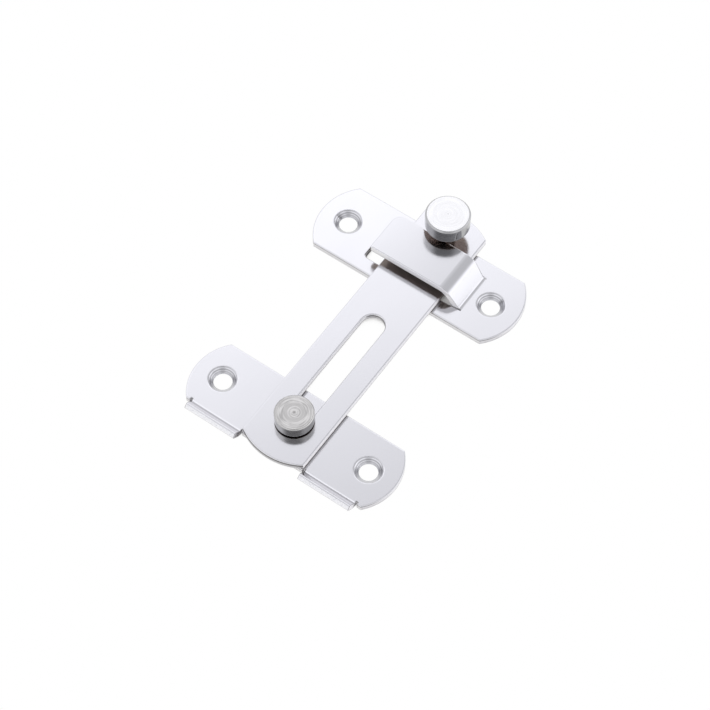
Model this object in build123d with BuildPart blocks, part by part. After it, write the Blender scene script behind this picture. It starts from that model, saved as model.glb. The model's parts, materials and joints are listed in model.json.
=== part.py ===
"""Sliding door latch of stamped stainless sheet, in millimetres.

A slotted bar turns and slides on a headed stud that stands on the base plate. Its far end lies under a hook
that is lanced out of the keeper plate, and the neck of its knob catches behind the hook.

Frame: origin on the stud's axis in the mounting plane, +X along the plates, +Y along the closed bar towards
the keeper, +Z away from the door.
"""
from build123d import *
from math import cos, hypot, radians, sin, sqrt, tan
import os

# Sheet
plate_thickness = 1.8
bar_thickness = 1.8
edge_round = 0.25          # die roll on the upper edges of each stamping
corner_round = 0.4         # outer corners of each stamping

# Screw holes of both plates
screw_hole_diameter = 5.2
screw_land = 0.35          # straight wall left below the countersink
screw_inset = 8.75         # from a plate's end to its screw

# Bar
bar_width = 20.0
bar_lift = 0.3             # air between the bar and the plates under it
bar_near_reach = 12.9      # from the stud's axis to the near end
bar_end_rise = 3.0         # how far each end bows out past its corners
slot_width = 7.0
slot_travel = 37.0         # between the centres of the slot's two round ends
slot_play = 0.5            # how far the closed bar can still go forward

# Base plate
base_length = 66.0
base_end_rise = 4.1
park_clearance = 0.3       # between the parked bar and the plate's long edges

# Lips on the base plate's near edge, which stop the bar when it is parked
lip_angle = 42.0
lip_reach = 2.8            # sloped length from the bend's corner
lip_bend_radius = 0.8
lip_edge_round = 0.5
lip_end_clearance = 0.6    # between a lip's inner end and what passes it
lip_end_margin = 1.9       # between a lip's outer end and the plate's corner
relief_width = 0.7
relief_depth = 0.5

# Pivot stud
stud_head_diameter = 11.0
stud_head_height = 3.5
stud_head_gap = 0.7        # air between the head and the bar
stud_head_chamfer = 0.35
stud_tail_diameter = 4.0
stud_clearance = 0.05      # running fit in the base plate
slot_clearance = 0.1       # each side of the shank in the slot
peen_height = 0.8          # height of the spread tail below each plate
peen_recess = 0.1          # how far a spread tail stays above the sheet's back

# Pull knob
knob_distance = 73.0       # from the stud's axis, with the bar closed
knob_end_margin = 8.0      # from the knob's axis to the bar's far end
knob_head_diameter = 12.8
knob_head_height = 4.5
knob_head_chamfer = 0.45
knob_gap = 2.1             # air between the knob's head and the hook
neck_diameter = 5.0
neck_play = 1.75           # between the neck and the hook's far edge
knob_tail_diameter = 3.6
rivet_clearance = 0.02

# Keeper plate and its hook
keeper_offset = -2.0       # of the plate's middle from the bar's centre line
keeper_end_rise = 4.9
keeper_side_strip = 4.65   # sheet left on each side of the window
keeper_screw_margin = 5.8  # from the hook's foot to the screw beside it
hook_width = 13.5
hook_gap = 2.3             # air between the bar and the hook
hook_overhang = 4.0        # how far the open end stands out past the bar
hook_near_tip_radius = 0.7
hook_far_tip_radius = 2.6
hook_leg_angle = 55.0
hook_bend_radius = 2.7     # inside, at the top of the leg
hook_foot_radius = 1.0     # inside, at the foot of the leg
hook_side_clearance = 2.26  # between the bar's upper edge and the leg
hook_root_inset = 0.6      # how much each side of the leg draws in towards the foot
hook_stretch = 0.55        # how much longer the hook gets as it is drawn up
lance_gap = 0.15           # width of the cut around the flat hook
neutral_factor = 0.33      # where the sheet neither stretches nor shrinks in a bend

# Heights that follow from the stack of pieces
bar_bottom = plate_thickness + bar_lift
bar_top = bar_bottom + bar_thickness
hook_underside = bar_top + hook_gap
hook_top = hook_underside + plate_thickness
stud_head_bottom = bar_top + stud_head_gap
knob_head_bottom = hook_top + knob_gap

# Plan sizes that follow from the bar
bar_half_width = bar_width / 2
bar_far_reach = knob_distance + knob_end_margin
near_corner_y = bar_near_reach - bar_end_rise
near_sweep = max(bar_near_reach, hypot(bar_half_width, near_corner_y))
base_half_width = bar_half_width + park_clearance
base_corner_x = base_length / 2 - base_end_rise
lip_bend_y = -bar_half_width
sweep_x = sqrt(max(near_sweep ** 2 - base_half_width ** 2, 0.0))
lip_inner_x = max(bar_half_width, sweep_x) + lip_end_clearance
lip_outer_x = base_corner_x - lip_end_margin
countersink_radius = screw_hole_diameter / 2 + plate_thickness - screw_land

# Hook in side view: its upper surface runs from the open end over the bend at leg_top_x to the foot
leg = radians(hook_leg_angle)
leg_rise = hook_top - plate_thickness
foot_x = (bar_half_width + hook_side_clearance + plate_thickness * sin(leg)
          + (bar_top - plate_thickness + plate_thickness * cos(leg)) / tan(leg))
leg_top_x = foot_x - leg_rise / tan(leg)
tip_x = -(bar_half_width + hook_overhang)
foot_line_x = foot_x + hook_foot_radius * tan(leg / 2)
outer_bend_radius = hook_bend_radius + plate_thickness

# Length of the hook when flat, which is the length of the window it leaves in the plate
neutral = neutral_factor * plate_thickness
bends_length = (hook_bend_radius + hook_foot_radius + 2 * neutral) * leg
leg_length = leg_rise / sin(leg) - (outer_bend_radius + hook_foot_radius) * tan(leg / 2)
reach_length = leg_top_x - outer_bend_radius * tan(leg / 2) - tip_x
taper_start_x = foot_line_x - bends_length - leg_length
window_end_x = taper_start_x - reach_length + hook_stretch - lance_gap
window_half_width = hook_width / 2 + lance_gap
root_half_width = hook_width / 2 - hook_root_inset

# Keeper plate
keeper_y = knob_distance - neck_diameter / 2 - neck_play - hook_width / 2
keeper_half_width = window_half_width + keeper_side_strip
keeper_half_length = foot_line_x - keeper_offset + keeper_screw_margin + screw_inset


def plate_blank(length, width, rise):
    """Flat stamping along X: bowed ends, rounded upper edges and a countersunk screw hole near each end."""
    half_width = width / 2
    corner_x = length / 2 - rise
    with BuildPart() as blank:
        with BuildSketch():
            with BuildLine():
                Line((-corner_x, -half_width), (corner_x, -half_width))
                ThreePointArc((corner_x, -half_width), (length / 2, 0), (corner_x, half_width))
                Line((corner_x, half_width), (-corner_x, half_width))
                ThreePointArc((-corner_x, half_width), (-length / 2, 0), (-corner_x, -half_width))
            make_face()
        extrude(amount=plate_thickness)
        fillet(blank.edges().filter_by(Axis.Z), corner_round)
        fillet(blank.faces().sort_by(Axis.Z)[-1].edges(), edge_round)
        with Locations((0, 0, plate_thickness)):
            with GridLocations(length - 2 * screw_inset, 0, 2, 1):
                CounterSinkHole(screw_hole_diameter / 2, countersink_radius, counter_sink_angle=90)
        rims = [wire.edge() for wire in blank.faces().sort_by(Axis.Z)[-1].inner_wires()]
        fillet(rims, edge_round)
    return blank.part


def rivet_profile(tail_radius, sheet, clearance):
    """Half profile of a spread tail, from its flat end up to the sheet's upper face, as (radius, height)."""
    spread = tail_radius + peen_height - peen_recess - clearance
    root = peen_height - clearance
    return [(0, peen_recess), (spread, peen_recess), (tail_radius, root), (tail_radius, sheet)]


def turned(points, level):
    """Wire points in the XZ plane of a turned piece whose profile starts at height level."""
    return [(radius, level + height) for radius, height in points]


# Base plate: blank with the stud's hole, and a lip folded up on each side of the bar
base_blank = plate_blank(base_length, 2 * base_half_width, base_end_rise)
lip_slope = radians(lip_angle)
lip_run = lip_bend_radius * tan(lip_slope / 2)
lip_span = lip_outer_x - lip_inner_x
lip_middle_x = (lip_inner_x + lip_outer_x) / 2
with BuildPart() as base_plate:
    add(base_blank)
    with Locations(Plane((0, 0, 0), z_dir=(0, 0, -1))):
        CounterSinkHole(stud_tail_diameter / 2 + stud_clearance,
                        stud_tail_diameter / 2 + stud_clearance + peen_height,
                        counter_sink_angle=90)
    # The strip in front of the bend line goes, with a relief notch beside each end of a lip
    with BuildSketch():
        for side in (-1, 1):
            with Locations((side * lip_middle_x, lip_bend_y)):
                Rectangle(lip_span + 2 * relief_width, 2 * park_clearance, align=(Align.CENTER, Align.MAX))
            for notch_x in (lip_inner_x - relief_width / 2, lip_outer_x + relief_width / 2):
                with Locations((side * notch_x, lip_bend_y + relief_depth)):
                    Rectangle(relief_width, 2 * relief_depth, align=(Align.CENTER, Align.MAX))
    extrude(amount=plate_thickness, mode=Mode.SUBTRACT)
    # A lip is the sheet's section carried along X, bent up from the bend line
    for side in (-1, 1):
        with BuildSketch(Plane.YZ.offset(side * lip_middle_x)) as lip_section:
            with BuildLine():
                FilletPolyline(
                    (lip_bend_y + park_clearance, plate_thickness),
                    (lip_bend_y - lip_run, plate_thickness),
                    (lip_bend_y - lip_run - lip_reach * cos(lip_slope),
                     plate_thickness + lip_reach * sin(lip_slope)),
                    radius=lip_bend_radius,
                )
                offset(amount=plate_thickness, side=Side.LEFT)
            make_face()
            fillet(lip_section.vertices().sort_by(Axis.X)[:2], lip_edge_round)
        extrude(amount=lip_span / 2, both=True)

# Pivot stud: spread tail in the base plate, shank in the slot, disc head over the bar
shank_radius = slot_width / 2 - slot_clearance
shoulder = plate_thickness + stud_clearance
with BuildPart() as pivot_stud:
    with BuildSketch(Plane.XZ):
        with BuildLine():
            Polyline(
                *rivet_profile(stud_tail_diameter / 2, shoulder, stud_clearance),
                (shank_radius, shoulder),
                (shank_radius, stud_head_bottom),
                (stud_head_diameter / 2, stud_head_bottom),
                (stud_head_diameter / 2, stud_head_bottom + stud_head_height),
                (0, stud_head_bottom + stud_head_height),
                close=True,
            )
        make_face()
    revolve(axis=Axis.Z)
    chamfer(pivot_stud.faces().sort_by(Axis.Z)[-1].edges(), stud_head_chamfer)

# Latch bar: slotted strip with bowed ends
with BuildPart() as latch_bar:
    with BuildSketch(Plane.XY.offset(bar_bottom)):
        with BuildLine():
            Line((-bar_half_width, -near_corner_y), (-bar_half_width, bar_far_reach - bar_end_rise))
            ThreePointArc((-bar_half_width, bar_far_reach - bar_end_rise), (0, bar_far_reach),
                          (bar_half_width, bar_far_reach - bar_end_rise))
            Line((bar_half_width, bar_far_reach - bar_end_rise), (bar_half_width, -near_corner_y))
            ThreePointArc((bar_half_width, -near_corner_y), (0, -bar_near_reach),
                          (-bar_half_width, -near_corner_y))
        make_face()
    extrude(amount=bar_thickness)
    fillet(latch_bar.edges().filter_by(Axis.Z), corner_round)
    fillet(latch_bar.faces().sort_by(Axis.Z)[-1].edges(), edge_round)
    with BuildSketch(Plane.XY.offset(bar_bottom)):
        with Locations((0, slot_travel / 2 - slot_play)):
            SlotCenterToCenter(slot_travel, slot_width, rotation=90)
    extrude(amount=bar_thickness, mode=Mode.SUBTRACT)
    chamfer(latch_bar.faces().sort_by(Axis.Z)[-1].inner_wires()[0].edges(), edge_round)
    with Locations(Plane((0, knob_distance, bar_bottom), z_dir=(0, 0, -1))):
        CounterSinkHole(knob_tail_diameter / 2 + rivet_clearance,
                        knob_tail_diameter / 2 + rivet_clearance + peen_height,
                        counter_sink_angle=90)

# Pull knob: spread tail in the bar, neck that catches behind the hook, disc head above the hook
knob_plane = Plane.XZ.offset(-knob_distance)
with BuildPart() as pull_knob:
    with BuildSketch(knob_plane):
        with BuildLine():
            Polyline(
                *turned(rivet_profile(knob_tail_diameter / 2, bar_thickness, rivet_clearance), bar_bottom),
                (neck_diameter / 2, bar_top),
                (neck_diameter / 2, knob_head_bottom),
                (knob_head_diameter / 2, knob_head_bottom),
                (knob_head_diameter / 2, knob_head_bottom + knob_head_height),
                (0, knob_head_bottom + knob_head_height),
                close=True,
            )
        make_face()
    revolve(axis=Axis((0, knob_distance, 0), (0, 0, 1)))
    chamfer(pull_knob.faces().sort_by(Axis.Z)[-1].edges(), knob_head_chamfer)

# Hook: the sheet's section in side view, carried across its width, with a rounded open end and a leg that
# draws in towards its foot
with BuildPart() as hook:
    with BuildSketch(Plane.XZ.offset(-keeper_y)):
        with BuildLine():
            FilletPolyline(
                (tip_x, hook_top),
                (leg_top_x, hook_top),
                (foot_x, plate_thickness),
                (foot_line_x + plate_thickness / 2, plate_thickness),
                radius=[outer_bend_radius, hook_foot_radius],
            )
            offset(amount=plate_thickness, side=Side.RIGHT)
        make_face()
    extrude(amount=hook_width / 2, both=True)
    tip_corners = hook.edges().filter_by(Axis.Z).group_by(Axis.X)[0].sort_by(Axis.Y)
    fillet(tip_corners[0], hook_near_tip_radius)
    fillet(tip_corners[-1], hook_far_tip_radius)
    fillet(hook.faces().sort_by(Axis.Z)[-1].edges().sort_by(Axis.X)[:-1], edge_round)
    with BuildSketch(Plane((0, keeper_y, 0))):
        with BuildLine():
            Polyline(
                (leg_top_x, hook_width / 2),
                (foot_line_x, root_half_width),
                (foot_line_x, window_half_width),
                (leg_top_x, window_half_width),
                close=True,
            )
        make_face()
        mirror(about=Plane.XZ)
    extrude(amount=hook_top, mode=Mode.SUBTRACT)

# Keeper plate: blank with the window that the hook leaves, and the hook itself
keeper_blank = plate_blank(2 * keeper_half_length, 2 * keeper_half_width, keeper_end_rise)
with BuildPart() as keeper_plate:
    add(keeper_blank.moved(Location((keeper_offset, keeper_y, 0))))
    with BuildSketch(Plane((0, keeper_y, 0))) as window:
        with BuildLine():
            Polyline(
                (window_end_x, -window_half_width),
                (taper_start_x, -window_half_width),
                (foot_line_x, -root_half_width - lance_gap),
                (foot_line_x, root_half_width + lance_gap),
                (taper_start_x, window_half_width),
                (window_end_x, window_half_width),
                close=True,
            )
        make_face()
        end_corners = window.vertices().group_by(Axis.X)[0].sort_by(Axis.Y)
        fillet(end_corners[0], hook_near_tip_radius + lance_gap)
        fillet(end_corners[-1], hook_far_tip_radius + lance_gap)
    extrude(amount=plate_thickness, mode=Mode.SUBTRACT)
    window_wire = keeper_plate.faces().sort_by(Axis.Z)[-1].inner_wires().sort_by(SortBy.LENGTH)[-1]
    chamfer(window_wire.edges(), edge_round)
    add(hook.part)

os.makedirs("parts", exist_ok=True)
base_plate.part.label = "base_plate"
pivot_stud.part.label = "pivot_stud"
latch_bar.part.label = "latch_bar"
pull_knob.part.label = "pull_knob"
keeper_plate.part.label = "keeper_plate"
for piece in (base_plate, pivot_stud, latch_bar, pull_knob, keeper_plate):
    export_step(piece.part, f"parts/{piece.part.label}.step")
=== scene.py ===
"""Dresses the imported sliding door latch: satin sheet steel, turned heads and a white studio floor.

The file is laid out as an add-on. Sizes and colours are properties of the scene, each group of like
pieces has an operator, and main() runs the operators in order.
"""

import json
import math

import bpy
import numpy as np
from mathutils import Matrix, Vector


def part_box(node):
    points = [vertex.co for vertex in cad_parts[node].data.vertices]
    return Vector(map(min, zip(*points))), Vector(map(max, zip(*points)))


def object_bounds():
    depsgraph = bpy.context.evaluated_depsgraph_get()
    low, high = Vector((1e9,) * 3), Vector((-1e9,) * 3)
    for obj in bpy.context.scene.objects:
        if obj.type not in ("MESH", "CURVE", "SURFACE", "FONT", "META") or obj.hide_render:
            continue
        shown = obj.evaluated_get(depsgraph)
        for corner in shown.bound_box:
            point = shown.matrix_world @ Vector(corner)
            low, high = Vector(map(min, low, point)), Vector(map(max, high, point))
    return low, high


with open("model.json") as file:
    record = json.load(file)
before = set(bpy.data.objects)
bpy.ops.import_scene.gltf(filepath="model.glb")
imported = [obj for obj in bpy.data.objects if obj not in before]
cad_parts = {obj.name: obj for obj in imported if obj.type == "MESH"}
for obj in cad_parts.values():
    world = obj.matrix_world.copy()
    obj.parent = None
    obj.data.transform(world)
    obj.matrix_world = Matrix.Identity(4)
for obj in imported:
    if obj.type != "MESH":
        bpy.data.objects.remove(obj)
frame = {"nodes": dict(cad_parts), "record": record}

bl_info = {
    "name": "Sliding door latch finishes",
    "version": (1, 0, 0),
    "blender": (4, 5, 0),
    "location": "3D View > Sidebar > Latch",
    "description": "Steel finishes and a studio stage for a stamped sliding door latch",
    "category": "Material",
}

CAD_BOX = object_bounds()
SLOT_COLOURS = {entry["slot"]: entry["base_color"] for entry in frame["record"]["materials"]}
PLATES = {"base_plate": "base_screws", "keeper_plate": "keeper_screws"}
LIPPED = "base_plate"
HOOKED = "keeper_plate"
BAR = "latch_bar"
STUD = "pivot_stud"
KNOB = "pull_knob"
MM = 0.001

# A pair says where something fades in: the value where it starts and the one where it is whole.
# These pairs are parts of a unit normal, upward or towards one side.
SLOPING = (0.3, 0.5)
TOWARDS_NEAR = (0.3, 0.6)
LIP_END_TILT = (0.58, 0.7)
NOT_UPRIGHT = (0.2, 0.45)
FLAT_SHEET = (0.86, 0.97)
HEAD_FACE = (0.85, 0.97)
HEAD_RIM = (0.68, 0.8)
HEAD_UNDERSIDE = (0.3, 0.6)
# Heights above the sheet's back, or above a fold's underside, as shares of the thickness.
TORN_TOP = (0.4, 0.5)
FOLD_TORN_TOP = (0.15, 0.25)
ROLL_TOP = (1.05, 1.1)
LIP_START = (1.03, 1.1)
LIP_FOOT = (1.2, 1.45)
RAGGEDNESS = 0.3
# Turns of a rounded corner's normal, from 0 on a face to 0.29 on a square corner.
WEAR_AND_HIGHLIGHT_TURN = (0.01, 0.05)
SHARP_TURN = (0.05, 0.14)
HEAD_TURN = (0.015, 0.05)
# Values of noise.
NOISE_MEAN = 0.5
PITS = (0.3, 0.6)
LIP_PITS = (0.3, 0.5)
BORE_MARKS = (0.35, 0.65)
RING_MARKS = (0.35, 0.7)
BAND_MARKS = (0.42, 0.7)
SIDE_MARKS = (0.4, 0.65)
# Detail of noise.
SMOOTH = 1.0
FINE = 2.0
FINEST = 3.0
# How strongly a tone is laid over another one.
WAVE_SHARE = 0.6
GRAIN_SHARE = 0.25
WEAR_AND_HIGHLIGHT_SHARE = 0.5
CORNER_SHADE_SHARE = 0.9
BAND_SHARE = 0.8
HEAD_CORNER_SHADE_SHARE = 0.8
FIBRE_SHARE = 0.3
# How much darker a tone is than the one it is made from.
WAVE_SHADE = 0.05
GRAIN_SHADE = 0.12
ROLL_SHADE = 0.45
FIBRE_SHADE = 0.03
# Broad bands of a turned head: rate and start against the rings, contrast and roughness.
BAND_RATE = 0.28
BAND_START = 7.3
BAND_CONTRAST = 0.7
BAND_ROUGHNESS = 0.1
# Lengths: soft borders, where a head's shank ends, and the camera's nearest distance.
SOFT_BORDER = 0.1 * MM
FOLD_BORDER = 0.01 * MM
SHANK_RADIUS = (3.7 * MM, 3.9 * MM)
CAMERA_START = 0.01
# Cells of paper fibre in a metre, and samples of the rounded corners and of the floor's shade.
FIBRE_CELLS = 900
CORNER_SAMPLES = 8
SHADE_SAMPLES = 12


class SheetFinish(bpy.types.PropertyGroup):
    """Satin sheet steel of the two plates and the bar."""

    thickness: bpy.props.FloatProperty(
        name="Sheet thickness",
        description="Thickness of the sheet, over which a sheared edge changes",
        unit="LENGTH", default=1.8 * MM)
    plate_colour: bpy.props.FloatVectorProperty(
        name="Plate colour", description="Reflected colour of the plates",
        subtype="COLOR", min=0.0, max=1.0, default=SLOT_COLOURS["plate_sheet"])
    bar_colour: bpy.props.FloatVectorProperty(
        name="Bar colour", description="Reflected colour of the bar",
        subtype="COLOR", min=0.0, max=1.0, default=SLOT_COLOURS["bar_sheet"])
    cut_colour: bpy.props.FloatVectorProperty(
        name="Cut edge colour", description="Colour of the sheared edges of the sheet",
        subtype="COLOR", min=0.0, max=1.0, default=(0.78, 0.77, 0.78))
    # Painted shade: the bar's near end is coloured darker than its other cut faces.
    end_shade: bpy.props.FloatProperty(
        name="Bar end shade",
        description="How much darker the bar's near end is than its other cut faces",
        subtype="FACTOR", min=0.0, max=1.0, default=0.32)
    # Painted shade: a dark line is coloured along the top of the near-facing cut faces.
    bar_roll: bpy.props.FloatProperty(
        name="Bar roll", description="Width of the dark roll along the top of the bar's near end",
        unit="LENGTH", default=0.85 * MM)
    plate_roll: bpy.props.FloatProperty(
        name="Plate roll",
        description="Width of the dark roll along the top of the plates' near edges",
        unit="LENGTH", default=0.47 * MM)
    torn_colour: bpy.props.FloatVectorProperty(
        name="Torn edge colour",
        description="Colour of the lower part of an edge, where the sheet tore off",
        subtype="COLOR", min=0.0, max=1.0, default=(0.58, 0.57, 0.58))
    # Wear and painted highlight: rounded corners are coloured brighter.
    wear_and_highlight_colour: bpy.props.FloatVectorProperty(
        name="Worn edge colour", description="Colour of corners that tumbling has polished",
        subtype="COLOR", min=0.0, max=1.0, default=(0.88, 0.88, 0.9))
    # Painted shade: a dark line is coloured along sharp corners.
    corner_shade_colour: bpy.props.FloatVectorProperty(
        name="Corner line colour",
        description="Colour of the fine line that stays along a sheared corner",
        subtype="COLOR", min=0.0, max=1.0, default=(0.34, 0.33, 0.33))
    # Painted shade: the lips' slopes are coloured grey, darker at their foot.
    lip_slope_shade_colour: bpy.props.FloatVectorProperty(
        name="Lip slope colour",
        description="Colour of the lips' upper faces, dulled by the folding tool",
        subtype="COLOR", min=0.0, max=1.0, default=(0.84, 0.83, 0.85))
    foot_shade: bpy.props.FloatProperty(
        name="Lip foot shade", description="How much darker the foot of a lip's slope is",
        subtype="FACTOR", min=0.0, max=1.0, default=0.35)
    # Painted shade: the underside is coloured dark brown, with less metal in it.
    underside_shade_colour: bpy.props.FloatVectorProperty(
        name="Back colour", description="Colour of the unpolished underside of the sheet",
        subtype="COLOR", min=0.0, max=1.0, default=(0.36, 0.3, 0.265))
    roughness: bpy.props.FloatProperty(
        name="Roughness", description="Roughness of the satin faces",
        subtype="FACTOR", min=0.0, max=1.0, default=0.15)
    roughness_spread: bpy.props.FloatProperty(
        name="Roughness spread", description="How far the grain changes the roughness",
        subtype="FACTOR", min=0.0, max=1.0, default=0.05)
    cut_roughness: bpy.props.FloatProperty(
        name="Cut edge roughness", description="Roughness of the sheared edges",
        subtype="FACTOR", min=0.0, max=1.0, default=0.34)
    back_roughness: bpy.props.FloatProperty(
        name="Back roughness", description="Roughness of the unpolished underside",
        subtype="FACTOR", min=0.0, max=1.0, default=0.28)
    bore_roughness: bpy.props.FloatProperty(
        name="Countersink roughness", description="Roughness of the turned countersinks",
        subtype="FACTOR", min=0.0, max=1.0, default=0.24)
    # Tool marks and painted shade in the screw holes.
    bore_shade: bpy.props.FloatProperty(
        name="Screw hole shade",
        description="How much darker the tool marks in the screw holes are",
        subtype="FACTOR", min=0.0, max=1.0, default=0.42)
    bore_radius: bpy.props.FloatProperty(
        name="Countersink radius", description="Radius in which a screw hole shows its tool marks",
        unit="LENGTH", default=4.35 * MM)
    bore_ring: bpy.props.FloatProperty(
        name="Countersink ring", description="Width of one tool mark in a countersink",
        unit="LENGTH", default=0.45 * MM)
    bore_depth: bpy.props.FloatProperty(
        name="Tool mark depth", description="Depth of the tool marks in a countersink",
        unit="LENGTH", default=0.022 * MM)
    grain_width: bpy.props.FloatProperty(
        name="Grain width", description="Width of one line of the satin grain",
        unit="LENGTH", default=0.22 * MM)
    grain_length: bpy.props.FloatProperty(
        name="Grain length", description="Length of one line of the satin grain",
        unit="LENGTH", default=9 * MM)
    grain_depth: bpy.props.FloatProperty(
        name="Grain depth", description="Depth of the satin grain",
        unit="LENGTH", default=0.0003 * MM)
    wave_width: bpy.props.FloatProperty(
        name="Wave width", description="Width of the slow waves that stamping leaves in the sheet",
        unit="LENGTH", default=14 * MM)
    wave_depth: bpy.props.FloatProperty(
        name="Wave depth", description="Depth of the slow waves",
        unit="LENGTH", default=0.008 * MM)
    tear_width: bpy.props.FloatProperty(
        name="Tear width", description="Size of the pits in the torn part of an edge",
        unit="LENGTH", default=0.35 * MM)
    tear_depth: bpy.props.FloatProperty(
        name="Tear depth", description="Depth of the pits in the torn part of an edge",
        unit="LENGTH", default=0.012 * MM)
    edge_lean: bpy.props.FloatProperty(
        name="Edge lean", description="How far a sheared edge leans back for each unit of height",
        min=0.0, max=1.0, default=0.3)
    side_lean: bpy.props.FloatProperty(
        name="Side lean",
        description="How much more the edges along the bar lean back than those across it",
        min=0.0, max=1.0, default=0.6)
    # Less metal on the underside, as part of its painted shade.
    back_metallic: bpy.props.FloatProperty(
        name="Back metal share", description="Share of bare metal in the scale on the underside",
        subtype="FACTOR", min=0.0, max=1.0, default=0.45)
    # Polish and painted light: the lips' ends are coloured brighter than other cut faces.
    polished_and_lit_lip_colour: bpy.props.FloatVectorProperty(
        name="Lip end colour", description="Colour of the lips' polished ends",
        subtype="COLOR", min=0.0, max=1.0, default=(0.95, 0.95, 0.96))
    lip_roughness: bpy.props.FloatProperty(
        name="Lip end roughness", description="Roughness of the lips' ends",
        subtype="FACTOR", min=0.0, max=1.0, default=0.4)
    crown_start: bpy.props.FloatProperty(
        name="Crown start",
        description="Place along X from which the keeper's hook bends down slightly",
        subtype="DISTANCE", unit="LENGTH", default=-29 * MM)
    crown_radius: bpy.props.FloatProperty(
        name="Crown radius", description="Radius of the slight bend over the keeper's hook",
        unit="LENGTH", default=0.95)
    # This radius also places the painted highlight and the painted shade lines along corners.
    wear_radius: bpy.props.FloatProperty(
        name="Wear radius",
        description="Radius to which tumbling has rounded and polished the corners",
        unit="LENGTH", default=0.42 * MM)


class TurnedFinish(bpy.types.PropertyGroup):
    """Turned steel of the stud's head and the knob."""

    stud_colour: bpy.props.FloatVectorProperty(
        name="Stud colour", description="Reflected colour of the stud's head",
        subtype="COLOR", min=0.0, max=1.0, default=(0.72, 0.71, 0.7))
    knob_colour: bpy.props.FloatVectorProperty(
        name="Knob colour", description="Reflected colour of the knob's head",
        subtype="COLOR", min=0.0, max=1.0, default=(0.86, 0.86, 0.87))
    rim_roughness: bpy.props.FloatProperty(
        name="Rim roughness", description="Roughness of the chamfer round a head",
        subtype="FACTOR", min=0.0, max=1.0, default=0.5)
    # Painted shade: all below a head is coloured dark brown.
    under_head_shade_colour: bpy.props.FloatVectorProperty(
        name="Underside colour", description="Colour below a head, where the polish does not reach",
        subtype="COLOR", min=0.0, max=1.0, default=(0.21, 0.165, 0.14))
    # Painted shade: a dark line is coloured along a head's corners.
    corner_shade_colour: bpy.props.FloatVectorProperty(
        name="Corner line colour",
        description="Colour of the fine line along the corners of a head",
        subtype="COLOR", min=0.0, max=1.0, default=(0.38, 0.37, 0.36))
    pip_shade: bpy.props.FloatProperty(
        name="Centre pip shade",
        description="How much darker than a ring the pip in the middle of a head is",
        subtype="FACTOR", min=0.0, max=1.0, default=0.1)
    pip_radius: bpy.props.FloatProperty(
        name="Centre pip radius", description="Radius of the pip in the middle of a head",
        unit="LENGTH", default=0.4 * MM)
    corner_radius: bpy.props.FloatProperty(
        name="Corner radius", description="Radius to which the corners of a head are broken",
        unit="LENGTH", default=0.22 * MM)
    arc_length: bpy.props.FloatProperty(
        name="Arc length", description="Length over which a turning ring fades in and out",
        unit="LENGTH", default=3.2 * MM)
    side_roughness: bpy.props.FloatProperty(
        name="Side roughness", description="Roughness of a head's burnished side",
        subtype="FACTOR", min=0.0, max=1.0, default=0.14)
    # Painted shade: the heads' sides are coloured darker than their faces.
    stud_side_shade: bpy.props.FloatProperty(
        name="Stud side shade",
        description="How much darker the side of the stud's head is than its face",
        subtype="FACTOR", min=0.0, max=1.0, default=0.28)
    knob_side_shade: bpy.props.FloatProperty(
        name="Knob side shade", description="How much darker the side of the knob is than its face",
        subtype="FACTOR", min=0.0, max=1.0, default=0.48)
    side_lines: bpy.props.FloatProperty(
        name="Side lines", description="How much darker the fine lines round a head's side are",
        subtype="FACTOR", min=0.0, max=1.0, default=0.2)
    side_rings: bpy.props.FloatProperty(
        name="Side rings",
        description="Depth of the rings along a head's side as a share of those on its face",
        subtype="FACTOR", min=0.0, max=1.0, default=0.2)
    ring_width: bpy.props.FloatProperty(
        name="Ring width", description="Width of one turning ring",
        unit="LENGTH", default=0.36 * MM)
    stud_ring_depth: bpy.props.FloatProperty(
        name="Stud ring depth", description="Depth of the turning rings on the stud",
        unit="LENGTH", default=0.008 * MM)
    knob_ring_depth: bpy.props.FloatProperty(
        name="Knob ring depth", description="Depth of the turning rings on the knob",
        unit="LENGTH", default=0.002 * MM)
    stud_contrast: bpy.props.FloatProperty(
        name="Stud contrast", description="How much darker the turning rings of the stud are",
        subtype="FACTOR", min=0.0, max=1.0, default=0.4)
    knob_contrast: bpy.props.FloatProperty(
        name="Knob contrast", description="How much darker the turning rings of the knob are",
        subtype="FACTOR", min=0.0, max=1.0, default=0.08)
    stud_roughness: bpy.props.FloatProperty(
        name="Stud roughness", description="Roughness of the stud's head",
        subtype="FACTOR", min=0.0, max=1.0, default=0.3)
    knob_roughness: bpy.props.FloatProperty(
        name="Knob roughness", description="Roughness of the knob's head",
        subtype="FACTOR", min=0.0, max=1.0, default=0.22)


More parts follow.
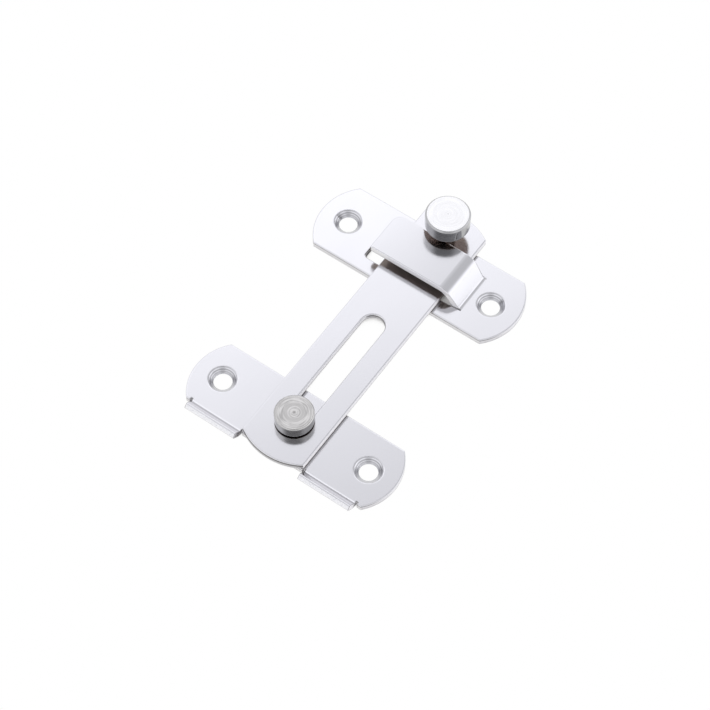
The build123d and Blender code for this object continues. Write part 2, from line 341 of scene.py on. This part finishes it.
class StudioSetup(bpy.types.PropertyGroup):
    """Floor, light and camera."""

    floor_radius: bpy.props.FloatProperty(
        name="Floor radius", description="Radius of the round white floor",
        unit="LENGTH", default=0.11)
    floor_drop: bpy.props.FloatProperty(
        name="Floor drop", description="Gap between the plates' backs and the floor",
        unit="LENGTH", default=0.02 * MM)
    floor_colour: bpy.props.FloatVectorProperty(
        name="Floor colour", description="Colour of the floor's paper",
        subtype="COLOR", min=0.0, max=1.0, default=(0.92, 0.92, 0.92))
    shade_reach: bpy.props.FloatProperty(
        name="Shade reach", description="How far off a piece still shades the floor below it",
        unit="LENGTH", default=14 * MM)
    shade_full: bpy.props.FloatProperty(
        name="Full shade", description="Share of open sky at which the floor takes the whole shade",
        subtype="FACTOR", min=0.0, max=1.0, default=0.06)
    shade_none: bpy.props.FloatProperty(
        name="No shade", description="Share of open sky at which the floor is plain white",
        subtype="FACTOR", min=0.0, max=1.0, default=0.25)
    light_colour: bpy.props.FloatVectorProperty(
        name="Light colour", description="Colour of the soft light",
        subtype="COLOR", min=0.0, max=1.0, default=(0.97, 0.97, 1.0))
    box_side: bpy.props.FloatVectorProperty(
        name="Soft box side", description="Direction of the graded soft box above the latch",
        subtype="DIRECTION", default=(-0.297, 0.421, 0.857))
    box_inner: bpy.props.FloatProperty(
        name="Soft box core",
        description="Angle from the soft box's middle to where it starts to fade",
        subtype="ANGLE", default=math.radians(18))
    box_outer: bpy.props.FloatProperty(
        name="Soft box reach", description="Angle from the soft box's middle to where it ends",
        subtype="ANGLE", default=math.radians(38))
    bright_level: bpy.props.FloatProperty(
        name="Bright level", description="Brightness of the soft box's bright half",
        min=0.0, soft_max=2.0, default=1.42)
    dim_level: bpy.props.FloatProperty(
        name="Dim level", description="Brightness of the soft box's dim half",
        min=0.0, soft_max=2.0, default=0.78)
    dim_side: bpy.props.FloatVectorProperty(
        name="Dim side", description="Direction in which the soft box gets dimmer",
        subtype="DIRECTION", default=(0.716, -0.496, 0.492))
    dim_softness: bpy.props.FloatProperty(
        name="Dim softness", description="Half width of the change from bright to dim",
        subtype="FACTOR", min=0.01, max=1.0, default=0.1)
    bright_width: bpy.props.FloatProperty(
        name="Bright width", description="Width of the bright half",
        subtype="FACTOR", min=0.01, max=1.0, default=0.14)
    wall_side: bpy.props.FloatVectorProperty(
        name="Grey wall side", description="Direction of the grey wall's middle",
        subtype="DIRECTION", default=(0.5, 0.42, 0.757))
    wall_inner: bpy.props.FloatProperty(
        name="Grey wall core",
        description="Angle from the grey wall's middle to where it starts to fade",
        subtype="ANGLE", default=math.radians(16))
    wall_outer: bpy.props.FloatProperty(
        name="Grey wall reach", description="Angle from the grey wall's middle to where it ends",
        subtype="ANGLE", default=math.radians(38))
    wall_level: bpy.props.FloatProperty(
        name="Grey wall level", description="Brightness of the grey wall",
        min=0.0, soft_max=2.0, default=0.62)
    card_side: bpy.props.FloatVectorProperty(
        name="White card side",
        description="Direction of the white card that stands low beside the latch",
        subtype="DIRECTION", default=(0.865, 0.462, -0.196))
    card_inner: bpy.props.FloatProperty(
        name="White card core",
        description="Angle from the white card's middle to where it starts to fade",
        subtype="ANGLE", default=math.radians(12))
    card_outer: bpy.props.FloatProperty(
        name="White card reach", description="Angle from the white card's middle to where it ends",
        subtype="ANGLE", default=math.radians(46))
    card_level: bpy.props.FloatProperty(
        name="White card level", description="Brightness of the white card",
        min=0.0, soft_max=2.0, default=1.38)
    patch_side: bpy.props.FloatVectorProperty(
        name="Grey patch side", description="Direction of the grey patch behind the camera",
        subtype="DIRECTION", default=(0.495, -0.7, 0.515))
    patch_inner: bpy.props.FloatProperty(
        name="Grey patch core",
        description="Angle from the grey patch's middle to where it starts to fade",
        subtype="ANGLE", default=math.radians(9))
    patch_outer: bpy.props.FloatProperty(
        name="Grey patch reach", description="Angle from the grey patch's middle to where it ends",
        subtype="ANGLE", default=math.radians(24))
    patch_level: bpy.props.FloatProperty(
        name="Grey patch level", description="Brightness of the grey patch",
        min=0.0, soft_max=2.0, default=0.7)
    screen_azimuth: bpy.props.FloatProperty(
        name="Screen azimuth", description="Direction of the dark screen round the latch",
        subtype="ANGLE", default=math.radians(28))
    screen_elevation: bpy.props.FloatProperty(
        name="Screen elevation", description="Height of the dark screen's middle above the floor",
        subtype="ANGLE", default=math.radians(59))
    screen_inner: bpy.props.FloatProperty(
        name="Screen core",
        description="Angle from the screen's middle to where it starts to fade sideways",
        subtype="ANGLE", default=math.radians(33))
    screen_outer: bpy.props.FloatProperty(
        name="Screen reach", description="Angle from the screen's middle to its left or right end",
        subtype="ANGLE", default=math.radians(75))
    screen_height: bpy.props.FloatProperty(
        name="Screen height",
        description="Angle from the screen's middle to its upper or lower end",
        subtype="ANGLE", default=math.radians(13))
    screen_level: bpy.props.FloatProperty(
        name="Screen level", description="Brightness of the dark screen",
        min=0.0, soft_max=2.0, default=0.22)
    camera_azimuth: bpy.props.FloatProperty(
        name="Camera azimuth", description="Direction of the camera, 0 looks along +Y",
        subtype="ANGLE", default=math.radians(35.211))
    camera_elevation: bpy.props.FloatProperty(
        name="Camera elevation", description="Height of the camera above the floor",
        subtype="ANGLE", default=math.radians(59.008))
    camera_distance: bpy.props.FloatProperty(
        name="Camera distance", description="Distance from the camera to the point it looks at",
        unit="LENGTH", default=608.26 * MM)
    camera_target: bpy.props.FloatVectorProperty(
        name="Camera target", description="Point in the middle of the picture",
        subtype="TRANSLATION", unit="LENGTH", default=(0.81 * MM, 26.97 * MM, 1.8 * MM))
    camera_lens: bpy.props.FloatProperty(
        name="Lens", description="Focal length on a 36 mm sensor, in millimetres",
        min=1.0, default=112.57)


class Number:
    """A shader socket in a Python expression: each operator adds the Math node that works it out."""

    def __init__(self, shader, socket):
        self.shader = shader
        self.socket = socket

    def math(self, operation, first, second=None):
        inputs = {0: first}
        if second is not None:
            inputs[1] = second
        return self.shader.node("ShaderNodeMath", {"operation": operation}, inputs)

    def __add__(self, other):
        return self.math("ADD", self, other)

    def __radd__(self, other):
        return self.math("ADD", other, self)

    def __sub__(self, other):
        return self.math("SUBTRACT", self, other)

    def __rsub__(self, other):
        return self.math("SUBTRACT", other, self)

    def __mul__(self, other):
        return self.math("MULTIPLY", self, other)

    def __rmul__(self, other):
        return self.math("MULTIPLY", other, self)

    def __truediv__(self, other):
        return self.math("DIVIDE", self, other)

    def __rtruediv__(self, other):
        return self.math("DIVIDE", other, self)

    def __abs__(self):
        return self.math("ABSOLUTE", self)

    def greater(self, other):
        return self.math("MAXIMUM", self, other)


class Shader:
    """A node tree that is filled by expressions."""

    def __init__(self, tree):
        self.tree = tree
        tree.nodes.clear()

    def node(self, kind, settings=None, inputs=None, output=0):
        """Adds a node with its settings and its sockets' values or links. Gives one output, if any."""
        node = self.tree.nodes.new(kind)
        for name, value in (settings or {}).items():
            setattr(node, name, value)
        for key, value in (inputs or {}).items():
            if isinstance(value, Number):
                self.tree.links.new(value.socket, node.inputs[key])
            else:
                node.inputs[key].default_value = value
        return Number(self, node.outputs[output]) if node.outputs else None

    def place(self, shift=(0, 0, 0), turn=0.0, scale=(1, 1, 1)):
        """Object coordinates, scaled, turned about Z and then shifted."""
        here = self.node("ShaderNodeTexCoord", output="Object")
        inputs = {"Vector": here, "Location": shift, "Rotation": (0, 0, turn), "Scale": scale}
        return self.node("ShaderNodeMapping", inputs=inputs)

    def cells(self, width):
        """Object coordinates with one unit to each width."""
        return self.place(scale=(1 / width, 1 / width, 1 / width))

    def part(self, axis):
        """One object coordinate: X along the plates, Y along the closed bar, Z off the door."""
        return self.node("ShaderNodeSeparateXYZ", inputs={0: self.place()}, output=axis)

    def noise(self, place, detail):
        """Noise from 0 to 1 with one cell to each unit of place."""
        inputs = {"Vector": place, "Scale": 1.0, "Detail": detail}
        return self.node("ShaderNodeTexNoise", inputs=inputs)

    def noise_along(self, distance, detail):
        """Noise from 0 to 1 that changes with one number only."""
        inputs = {"W": distance, "Scale": 1.0, "Detail": detail}
        return self.node("ShaderNodeTexNoise", {"noise_dimensions": "1D"}, inputs)

    def step(self, value, start, whole):
        """Goes smoothly from 0 at start to 1 at whole. Start may be the greater of the two."""
        settings = {"interpolation_type": "SMOOTHSTEP"}
        inputs = {"Value": value, "From Min": start, "From Max": whole}
        return self.node("ShaderNodeMapRange", settings, inputs)

    def vector(self, operation, first, second=None, output="Vector"):
        """One Vector Math node."""
        inputs = {0: first}
        if second is not None:
            inputs[1] = second
        return self.node("ShaderNodeVectorMath", {"operation": operation}, inputs, output)

    def dot(self, first, second):
        """Dot product of two vectors, as a number."""
        return self.vector("DOT_PRODUCT", first, second, "Value")

    def blend(self, factor, first, second):
        """Colour that goes from first to second as factor goes from 0 to 1."""
        settings = {"data_type": "RGBA"}
        inputs = {0: factor, 6: opaque(first), 7: opaque(second)}
        return self.node("ShaderNodeMix", settings, inputs, output=2)

    def facing(self):
        """The surface normal and its X, Y and Z parts."""
        normal = self.node("ShaderNodeNewGeometry", output="Normal")
        parts = [
            self.node("ShaderNodeSeparateXYZ", inputs={0: normal}, output=axis) for axis in "XYZ"]
        return normal, *parts

    def radius(self, centre):
        """Distance from an upright axis through centre."""
        outward = self.place(shift=(-centre[0], -centre[1], 0), scale=(1, 1, 0))
        return self.vector("LENGTH", outward, output="Value")

    def corner(self, normal, radius):
        """The normal with corners rounded to radius, and how far it turns there."""
        rounded = self.node("ShaderNodeBevel", {"samples": CORNER_SAMPLES}, {"Radius": radius})
        return rounded, 1 - self.dot(rounded, normal)

    def metal(self, colour, metallic, roughness, height, rounded):
        """Metal with that colour, metal share, roughness, height in metres and rounded normal."""
        bump = {"Height": height, "Distance": 1.0, "Normal": rounded}
        normal = self.node("ShaderNodeBump", inputs=bump)
        surface = self.node("ShaderNodeBsdfPrincipled", inputs={
            "Base Color": colour, "Metallic": metallic, "Roughness": roughness, "Normal": normal})
        self.node("ShaderNodeOutputMaterial", inputs={"Surface": surface})


def opaque(colour):
    """A colour with full alpha, or the link that it already is."""
    if isinstance(colour, Number):
        return colour
    return (*colour, 1.0)


def new_material(name):
    """An empty material and the shader that fills it."""
    material = bpy.data.materials.new(name)
    material.use_nodes = True
    return material, Shader(material.node_tree)


def latch_node(name):
    """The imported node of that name."""
    if name not in frame["nodes"]:
        raise RuntimeError(f"the frame has no node named {name}")
    return frame["nodes"][name]


def dress(name, material):
    """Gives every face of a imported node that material."""
    piece = latch_node(name)
    if not piece.material_slots:
        raise RuntimeError(f"{name} has no material slot")
    for slot in piece.material_slots:
        slot.material = material


def middle(name):
    """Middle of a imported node's box."""
    low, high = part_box(name)
    return (low + high) / 2


def screw_centres(mount_name):
    """Places of the two screws of a bolt pattern along X."""
    for mount in frame["record"]["mounts"]:
        if mount["name"] == mount_name:
            reach = mount["dims"]["spacing_x_mm"] / 2 * MM
            return [(mount["pos_m"][0] + side * reach, mount["pos_m"][1]) for side in (-1, 1)]
    raise RuntimeError(f"the record has no mount named {mount_name}")


def darker(colour, share):
    """A colour with that share of its light taken away."""
    return [(1 - share) * part for part in colour]


def times(pair, size):
    """A pair of shares as lengths."""
    return [share * size for share in pair]


def sheet_steel(name, piece, colour, grain_turn, screws, finish):
    """Satin sheet with its grain along the piece, slow waves, sheared edges and screw holes with tool
    marks. Painted shade darkens the bar's near end, lines along the near edges and sharp corners, the
    lips' slopes, the underside and the tool marks; painted light brightens the corners and the lips'
    ends.
    """
    material, steel = new_material(name)
    across = 1 / finish.grain_width
    along = 1 / finish.grain_length
    grain = steel.noise(steel.place(turn=grain_turn, scale=(across, along, across)), FINE)
    waves = steel.noise(steel.cells(finish.wave_width), SMOOTH)
    tears = steel.noise(steel.cells(finish.tear_width), FINE)
    normal, lengthways, sideways, upward = steel.facing()
    low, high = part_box(piece)
    above_back = steel.part("Z") - low.z
    above_fold = steel.part("Z") - (high.z - finish.thickness)
    over_fold = steel.step(above_fold, -FOLD_BORDER, 0.0)

    # Where each kind of face is: 1 on it and 0 elsewhere.
    lip_end = steel.step(-1 * sideways, *LIP_END_TILT) * steel.step(upward, *SLOPING)
    edge = (1 - steel.step(abs(upward), *NOT_UPRIGHT)) * (1 - lip_end)
    near = edge * steel.step(-1 * sideways, *TOWARDS_NEAR)
    back = steel.step(-1 * upward, *SLOPING) * (1 - steel.step(-1 * sideways, *SLOPING))
    ragged = RAGGEDNESS * finish.thickness * (tears - NOISE_MEAN)
    torn = 1 - steel.step(above_back + ragged, *times(TORN_TOP, finish.thickness))
    fold_torn = 1 - steel.step(above_fold + ragged, *times(FOLD_TORN_TOP, finish.thickness))
    torn = edge * torn.greater(over_fold * fold_torn)
    # Painted shade: a dark line is coloured along the top of the cut faces that face the near side.
    roll_start = finish.thickness - (finish.bar_roll if piece == BAR else finish.plate_roll)
    painted_roll_shade = near * steel.step(above_back, roll_start - SOFT_BORDER, roll_start + SOFT_BORDER)
    painted_roll_shade = painted_roll_shade * (1 - steel.step(above_back, *times(ROLL_TOP, finish.thickness)))
    rounded, turned = steel.corner(normal, finish.wear_radius)

    tone = steel.blend(WAVE_SHARE * waves, colour, darker(colour, WAVE_SHADE))
    tone = steel.blend(GRAIN_SHARE * grain, tone, darker(colour, GRAIN_SHADE))
    tone = steel.blend(edge, tone, finish.cut_colour)
    tone = steel.blend(torn * steel.step(tears, *PITS), tone, finish.torn_colour)
    # Painted shade: the bar's near end is coloured darker than its other cut faces.
    if piece == BAR:
        tone = steel.blend(near, tone, darker(finish.cut_colour, finish.end_shade))
    tone = steel.blend(painted_roll_shade, tone, darker(finish.corner_shade_colour, ROLL_SHADE))
    # Partly polish, partly painted light: the lips' ends are coloured brighter than other cut faces.
    tone = steel.blend(lip_end * steel.step(tears, *LIP_PITS), tone, finish.polished_and_lit_lip_colour)
    # Painted shade: the lips' slopes are coloured grey, and darker still at their foot.
    if piece == LIPPED:
        slope = steel.step(above_back, *times(LIP_START, finish.thickness))
        slope = slope * steel.step(sideways, *SLOPING)
        past_foot = steel.step(above_back, *times(LIP_FOOT, finish.thickness))
        foot_colour = darker(finish.lip_slope_shade_colour, finish.foot_shade)
        tone = steel.blend(slope, tone, steel.blend(past_foot, foot_colour, finish.lip_slope_shade_colour))
    # Partly wear, partly painted highlight: rounded corners are coloured brighter.
    tone = steel.blend(WEAR_AND_HIGHLIGHT_SHARE * steel.step(turned, *WEAR_AND_HIGHLIGHT_TURN), tone, finish.wear_and_highlight_colour)
    # Painted shade: a dark line is coloured along sharp corners.
    tone = steel.blend(CORNER_SHADE_SHARE * steel.step(turned, *SHARP_TURN), tone, finish.corner_shade_colour)
    # Painted shade: downward faces are coloured dark brown, with less metal and their own roughness.
    tone = steel.blend(back, tone, finish.underside_shade_colour)

    satin = finish.roughness + finish.roughness_spread * (grain + waves - 1)
    roughness = satin + edge * (finish.cut_roughness - satin)
    roughness = roughness + lip_end * (finish.lip_roughness - satin)
    roughness = roughness + back * (finish.back_roughness - roughness)

    height = finish.grain_depth * grain + finish.wave_depth * waves
    height = height + torn * finish.tear_depth * tears
    lean = finish.edge_lean + finish.side_lean * abs(lengthways)
    height = height - edge * lean * above_back
    if piece == HOOKED:
        reach = steel.part("X").greater(finish.crown_start) - finish.crown_start
        height = height - over_fold * (reach * reach) / (2 * finish.crown_radius)

    for centre in screws:
        radius = steel.radius(centre)
        bore = 1 - steel.step(radius, finish.bore_radius - SOFT_BORDER, finish.bore_radius)
        bore = bore * (1 - steel.step(upward, *FLAT_SHEET)) * (1 - back)
        marks = steel.noise_along(radius / finish.bore_ring, FINE)
        # Partly tool marks, partly painted shade: the marks in the screw holes are coloured darker.
        tool_marks_and_shade = steel.blend(steel.step(marks, *BORE_MARKS), colour, darker(colour, finish.bore_shade))
        tone = steel.blend(bore, tone, tool_marks_and_shade)
        roughness = roughness + bore * (finish.bore_roughness - roughness)
        height = height + bore * finish.bore_depth * marks
    steel.metal(tone, 1 - back * (1 - finish.back_metallic), roughness, height, rounded)
    return material


def turned_steel(name, axis, colour, ring_depth, contrast, side_shade, roughness, finish):
    """Turned steel: rings on the face, fine lines round the side, a pip and a bright rim. Painted
    shade darkens the side, the corners and all below the head.
    """
    material, steel = new_material(name)
    radius = steel.radius(axis)
    path = (radius + steel.part("Z")) / finish.ring_width
    ring_place = steel.node("ShaderNodeCombineXYZ", inputs={
        "X": path,
        "Y": steel.part("X") / finish.arc_length,
        "Z": steel.part("Y") / finish.arc_length})
    rings = steel.noise(ring_place, FINEST)
    bands = steel.noise_along(BAND_RATE * path + BAND_START, SMOOTH)
    lines = steel.step(steel.noise_along(path, FINE), *SIDE_MARKS)
    normal, _, _, upward = steel.facing()
    rounded, turned = steel.corner(normal, finish.corner_radius)

    face = steel.step(upward, *HEAD_FACE)
    rim = steel.step(upward, *HEAD_RIM) * (1 - face)
    shank = (1 - steel.step(radius, *SHANK_RADIUS)) * (1 - face)
    under = steel.step(-1 * upward, *HEAD_UNDERSIDE).greater(shank)
    pip = face * (1 - steel.step(radius, finish.pip_radius / 2, finish.pip_radius))

    tone = steel.blend(steel.step(rings, *RING_MARKS), colour, darker(colour, contrast))
    band = BAND_SHARE * steel.step(bands, *BAND_MARKS)
    tone = steel.blend(band, tone, darker(colour, BAND_CONTRAST * contrast))
    # Painted shade: the side is coloured darker than the face.
    side_tone = darker(colour, side_shade)
    side_tone = steel.blend(lines, side_tone, darker(side_tone, finish.side_lines))
    tone = steel.blend((1 - face) * (1 - rim), tone, side_tone)
    tone = steel.blend(rim, tone, colour)
    # Painted shade: a dark line is coloured along the corners.
    tone = steel.blend(HEAD_CORNER_SHADE_SHARE * steel.step(turned, *HEAD_TURN), tone, finish.corner_shade_colour)
    tone = steel.blend(pip, tone, darker(colour, contrast + finish.pip_shade))
    # Painted shade: below the head and round the shank is coloured dark brown.
    tone = steel.blend(under, tone, finish.under_head_shade_colour)

    satin = finish.side_roughness + face * (roughness - finish.side_roughness)
    satin = satin + BAND_ROUGHNESS * (bands - NOISE_MEAN)
    satin = satin + rim * (finish.rim_roughness - satin)
    depth = ring_depth * (finish.side_rings + face * (1 - finish.side_rings))
    steel.metal(tone, 1.0, satin, depth * rings * (1 - rim), rounded)
    return material


def floor_disc(centre, radius, drop):
    """Round floor about centre as a polar grid.

    A point at the distance r, up to radius, and the angle a is (r cos a, r sin a, -drop) from centre.
    """
    rings = 6
    spokes = 48
    distances = np.linspace(0, radius, rings + 1)[1:]
    angles = np.linspace(0, 2 * math.pi, spokes, endpoint=False)
    distance, angle = np.meshgrid(distances, angles, indexing="ij")
    depth = np.full_like(angle, -drop)
    points = np.stack([distance * np.cos(angle), distance * np.sin(angle), depth], axis=-1)
    corners = np.vstack([[[0, 0, -drop]], points.reshape(-1, 3)]) + [centre.x, centre.y, 0]
    ring, spoke = np.meshgrid(np.arange(rings - 1), np.arange(spokes), indexing="ij")
    inner = 1 + ring * spokes
    outer = inner + spokes
    after = (spoke + 1) % spokes
    quads = np.stack([inner + spoke, outer + spoke, outer + after, inner + after], axis=-1)
    first = np.arange(spokes)
    fan = np.stack([np.zeros(spokes, int), 1 + first, 1 + (first + 1) % spokes], axis=-1)
    mesh = bpy.data.meshes.new("studio_floor")
    mesh.from_pydata(corners.tolist(), [], fan.tolist() + quads.reshape(-1, 4).tolist())
    mesh.update()
    return mesh


def seen_rays(shader):
    """1 for rays from the camera and for mirrored and refracted ones, 0 for scattered light."""
    camera = shader.node("ShaderNodeLightPath", output="Is Camera Ray")
    glossy = shader.node("ShaderNodeLightPath", output="Is Glossy Ray")
    clear = shader.node("ShaderNodeLightPath", output="Is Transmission Ray")
    return camera.greater(glossy).greater(clear)


def floor_paper(studio):
    """White paper: plain white under open sky, with the latch's shade where the latch covers it."""
    material, paper = new_material("floor_paper")
    fibre = paper.noise(paper.place(scale=(FIBRE_CELLS, FIBRE_CELLS, FIBRE_CELLS)), FINE)
    dark_fibre = darker(studio.floor_colour, FIBRE_SHADE)
    tone = paper.blend(FIBRE_SHARE * fibre, studio.floor_colour, dark_fibre)
    matt = paper.node("ShaderNodeBsdfDiffuse", inputs={"Color": tone})
    white = paper.node("ShaderNodeEmission", inputs={"Color": (1, 1, 1, 1), "Strength": 1.0})
    samples = {"samples": SHADE_SAMPLES}
    sky = paper.node("ShaderNodeAmbientOcclusion", samples, {"Distance": studio.shade_reach}, "AO")
    glow = seen_rays(paper) * paper.step(sky, studio.shade_full, studio.shade_none)
    surface = paper.node("ShaderNodeMixShader", inputs={0: glow, 1: matt, 2: white})
    paper.node("ShaderNodeOutputMaterial", inputs={"Surface": surface})
    return material


def direction(azimuth, elevation):
    """Unit vector from the latch towards that azimuth and elevation."""
    level = math.cos(elevation)
    return Vector((math.sin(azimuth) * level, -math.cos(azimuth) * level, math.sin(elevation)))


def round_patch(sky, here, side, inner, outer):
    """1 within the angle inner of a direction, fading to 0 at the angle outer."""
    return sky.step(sky.dot(here, Vector(side).normalized()), math.cos(outer), math.cos(inner))


def studio_light(studio):
    """Plain white light. Mirrored rays also see a box, a wall, a card, a patch and a screen."""
    world = bpy.data.worlds.new("studio")
    world.use_nodes = True
    sky = Shader(world.node_tree)
    here = sky.node("ShaderNodeTexCoord", output="Generated")
    toward_dim = sky.dot(here, Vector(studio.dim_side).normalized())
    dim = sky.step(toward_dim, -studio.dim_softness, studio.dim_softness)
    beyond = sky.step(-1 * toward_dim, studio.bright_width, 2 * studio.bright_width)
    graded = studio.bright_level + dim * (studio.dim_level - studio.bright_level)
    graded = graded + beyond * (1 - graded)
    box = round_patch(sky, here, studio.box_side, studio.box_inner, studio.box_outer)
    level = 1 + box * (graded - 1)
    wall = round_patch(sky, here, studio.wall_side, studio.wall_inner, studio.wall_outer)
    level = level + wall * (studio.wall_level - level)
    card = round_patch(sky, here, studio.card_side, studio.card_inner, studio.card_outer)
    level = level + card * (studio.card_level - level)
    patch = round_patch(sky, here, studio.patch_side, studio.patch_inner, studio.patch_outer)
    level = level + patch * (studio.patch_level - level)
    toward_screen = sky.dot(here, direction(studio.screen_azimuth, 0.0))
    toward_screen = toward_screen / math.cos(studio.screen_elevation)
    screen = sky.step(toward_screen, math.cos(studio.screen_outer), math.cos(studio.screen_inner))
    upward = sky.node("ShaderNodeSeparateXYZ", inputs={0: here}, output="Z")
    for height in (-studio.screen_height, studio.screen_height):
        end = studio.screen_elevation + height
        half_way = (end + studio.screen_elevation) / 2
        screen = screen * sky.step(upward, math.sin(end), math.sin(half_way))
    level = level + screen * (studio.screen_level - level)
    mirrored = sky.node("ShaderNodeLightPath", output="Is Glossy Ray")
    tone = sky.blend(mirrored, (1, 1, 1), studio.light_colour)
    strength = 1 + mirrored * (level - 1)
    surface = sky.node("ShaderNodeBackground", inputs={"Color": tone, "Strength": strength})
    sky.node("ShaderNodeOutputWorld", inputs={"Surface": surface})
    return world


class LATCH_OT_finish_plates(bpy.types.Operator):
    """Satin sheet steel, with its grain along the plates, for the base plate and the keeper plate"""

    bl_idname = "latch.finish_plates"
    bl_label = "Finish plates"

    def execute(self, context):
        finish = context.scene.latch_sheet
        across_bar = math.radians(90)
        for name, mount in PLATES.items():
            screws = screw_centres(mount)
            dress(name, sheet_steel(
                f"{name}_satin", name, finish.plate_colour, across_bar, screws, finish))
        return {"FINISHED"}


class LATCH_OT_finish_bar(bpy.types.Operator):
    """Satin sheet steel, with its grain along the bar, for the latch bar"""

    bl_idname = "latch.finish_bar"
    bl_label = "Finish bar"

    def execute(self, context):
        finish = context.scene.latch_sheet
        dress(BAR, sheet_steel("latch_bar_satin", BAR, finish.bar_colour, 0.0, [], finish))
        return {"FINISHED"}


class LATCH_OT_finish_heads(bpy.types.Operator):
    """Turned steel with rings round each piece's own axis for the pivot stud and the pull knob"""

    bl_idname = "latch.finish_heads"
    bl_label = "Finish stud and knob"

    def execute(self, context):
        finish = context.scene.latch_turned
        dress(STUD, turned_steel(
            "stud_turned", middle(STUD), finish.stud_colour, finish.stud_ring_depth,
            finish.stud_contrast, finish.stud_side_shade, finish.stud_roughness, finish))
        dress(KNOB, turned_steel(
            "knob_turned", middle(KNOB), finish.knob_colour, finish.knob_ring_depth,
            finish.knob_contrast, finish.knob_side_shade, finish.knob_roughness, finish))
        return {"FINISHED"}


class LATCH_OT_set_stage(bpy.types.Operator):
    """White floor, soft light and the camera"""

    bl_idname = "latch.set_stage"
    bl_label = "Set stage"

    def execute(self, context):
        studio = context.scene.latch_studio
        centre = (CAD_BOX[0] + CAD_BOX[1]) / 2
        disc = floor_disc(centre, studio.floor_radius, studio.floor_drop)
        disc.materials.append(floor_paper(studio))
        floor = bpy.data.objects.new("studio_floor", disc)
        context.scene.collection.objects.link(floor)
        context.scene.world = studio_light(studio)
        lens = bpy.data.cameras.new("studio_camera")
        lens.lens = studio.camera_lens
        lens.clip_start = CAMERA_START
        camera = bpy.data.objects.new("studio_camera", lens)
        back = direction(studio.camera_azimuth, studio.camera_elevation)
        camera.location = Vector(studio.camera_target) + studio.camera_distance * back
        camera.rotation_euler = back.to_track_quat("Z", "Y").to_euler()
        context.scene.collection.objects.link(camera)
        context.scene.camera = camera
        context.scene.view_settings.view_transform = "Standard"
        return {"FINISHED"}


class LATCH_PT_panel(bpy.types.Panel):
    """Lists the latch's operators and their sizes and colours"""

    bl_label = "Sliding door latch"
    bl_idname = "LATCH_PT_panel"
    bl_space_type = "VIEW_3D"
    bl_region_type = "UI"
    bl_category = "Latch"

    def draw(self, context):
        for operator in OPERATORS:
            self.layout.operator(operator.bl_idname)
        for group in GROUPS:
            box = self.layout.box()
            settings = getattr(context.scene, group)
            for name in GROUPS[group].__annotations__:
                box.prop(settings, name)


GROUPS = {"latch_sheet": SheetFinish, "latch_turned": TurnedFinish, "latch_studio": StudioSetup}
OPERATORS = (LATCH_OT_finish_plates, LATCH_OT_finish_bar, LATCH_OT_finish_heads, LATCH_OT_set_stage)


def register():
    for group in (*GROUPS.values(), *OPERATORS, LATCH_PT_panel):
        bpy.utils.register_class(group)
    for name, group in GROUPS.items():
        setattr(bpy.types.Scene, name, bpy.props.PointerProperty(type=group))


def unregister():
    for name in GROUPS:
        delattr(bpy.types.Scene, name)
    for group in (LATCH_PT_panel, *OPERATORS, *GROUPS.values()):
        bpy.utils.unregister_class(group)


def main():
    register()
    bpy.ops.latch.finish_plates()
    bpy.ops.latch.finish_bar()
    bpy.ops.latch.finish_heads()
    bpy.ops.latch.set_stage()


if __name__ == "__main__":
    main()
